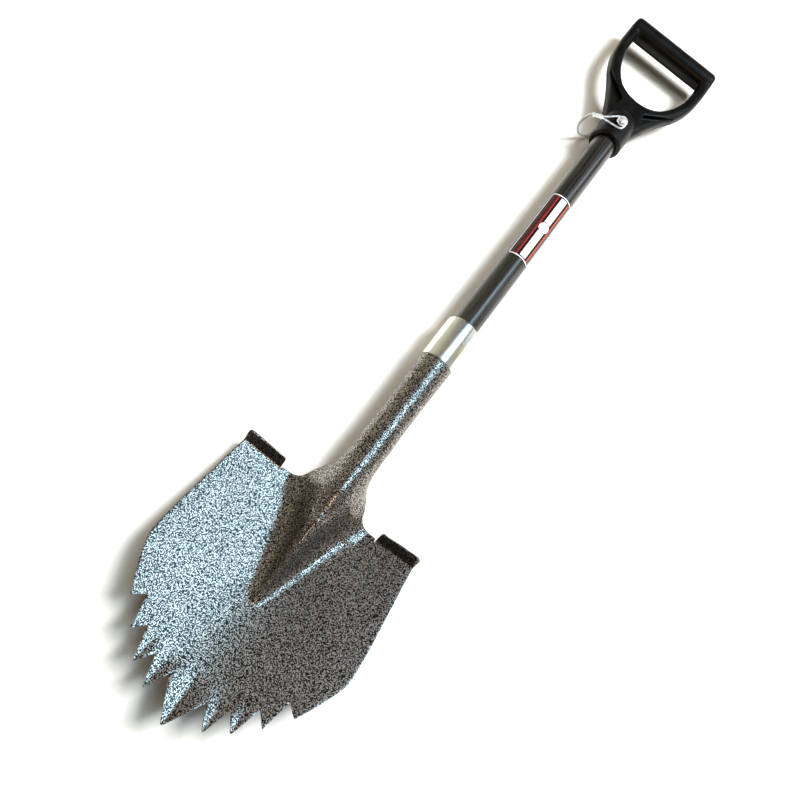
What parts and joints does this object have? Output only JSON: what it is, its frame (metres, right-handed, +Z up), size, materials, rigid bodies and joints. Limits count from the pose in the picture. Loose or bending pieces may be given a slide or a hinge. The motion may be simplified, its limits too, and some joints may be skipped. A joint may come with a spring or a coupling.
{
  "type": "detecting shovel",
  "caption": "Serrated round-point digging shovel for metal detecting, with foot steps, fibreglass shaft and a D-grip held by a lanyard pin.",
  "frame": {"origin": "on the floor under the shaft axis, midway along the overall length, with the shovel lying on its back", "axes": "+Y along the shaft towards the grip, +X to the right of the scoop face, +Z up out of the scoop"},
  "size_m": [0.245, 1.041, 0.0594],
  "materials": {
    "powder_coat": "glossy silver and black vein powder coat",
    "zinc_plate": "bright zinc plate with axial brushing",
    "fibreglass": "semi-gloss dark fibreglass with lengthwise streaks",
    "label_film": "printed vinyl film, dark field, red stripes, white border",
    "grip_plastic": "satin black moulded plastic",
    "inner_plastic": "plain moulded plastic, hidden",
    "bright_steel": "bright plated steel",
    "wire_rope": "twisted bright steel strands",
    "vinyl": "clear grey vinyl sleeve",
    "crimp_alloy": "soft crimped alloy"
  },
  "bodies": {
    "shovel": {"blade_head": "powder_coat", "ferrule": "zinc_plate", "shaft_tube": "fibreglass", "shaft_core": "inner_plastic", "socket_screw": "bright_steel", "shaft_end_cap": "inner_plastic", "shaft_label": "label_film", "pin_guide_tube": "bright_steel", "grip_moulding": "grip_plastic", "anchor_screw": "bright_steel", "anchor_washer": "bright_steel", "crimp_sleeve_anchor": "crimp_alloy"},
    "lanyard_eye": {"crimp_sleeve_pin": "crimp_alloy", "lanyard_cable": "wire_rope", "lanyard_sheath": "vinyl"},
    "pin": {"pin": "bright_steel", "detent_spring": "bright_steel"},
    "ball_left": {"detent_ball_left": "bright_steel"},
    "ball_right": {"detent_ball_right": "bright_steel"}
  },
  "joints": [
    {"name": "pin_pull", "type": "slide", "parent": "shovel", "child": "lanyard_eye", "axis": [0, 0, 1], "range_m": [0, 0.056], "deforming": ["lanyard_cable", "lanyard_sheath"]},
    {"name": "pin_spin", "type": "hinge", "parent": "lanyard_eye", "child": "pin", "pos_m": [0, 0.334, 0.03], "axis": [0, 0, 1], "continuous": true},
    {"name": "ball_left_out", "type": "slide", "parent": "pin", "child": "ball_left", "axis": [-1, 0, 0], "range_m": [0, 0.0007], "stiffness_N_per_m": 2500, "springref_m": 0.0012, "deforming": ["detent_spring"]},
    {"name": "ball_right_out", "type": "slide", "parent": "pin", "child": "ball_right", "axis": [1, 0, 0], "range_m": [0, 0.0007], "stiffness_N_per_m": 2500, "springref_m": 0.0012}
  ]
}
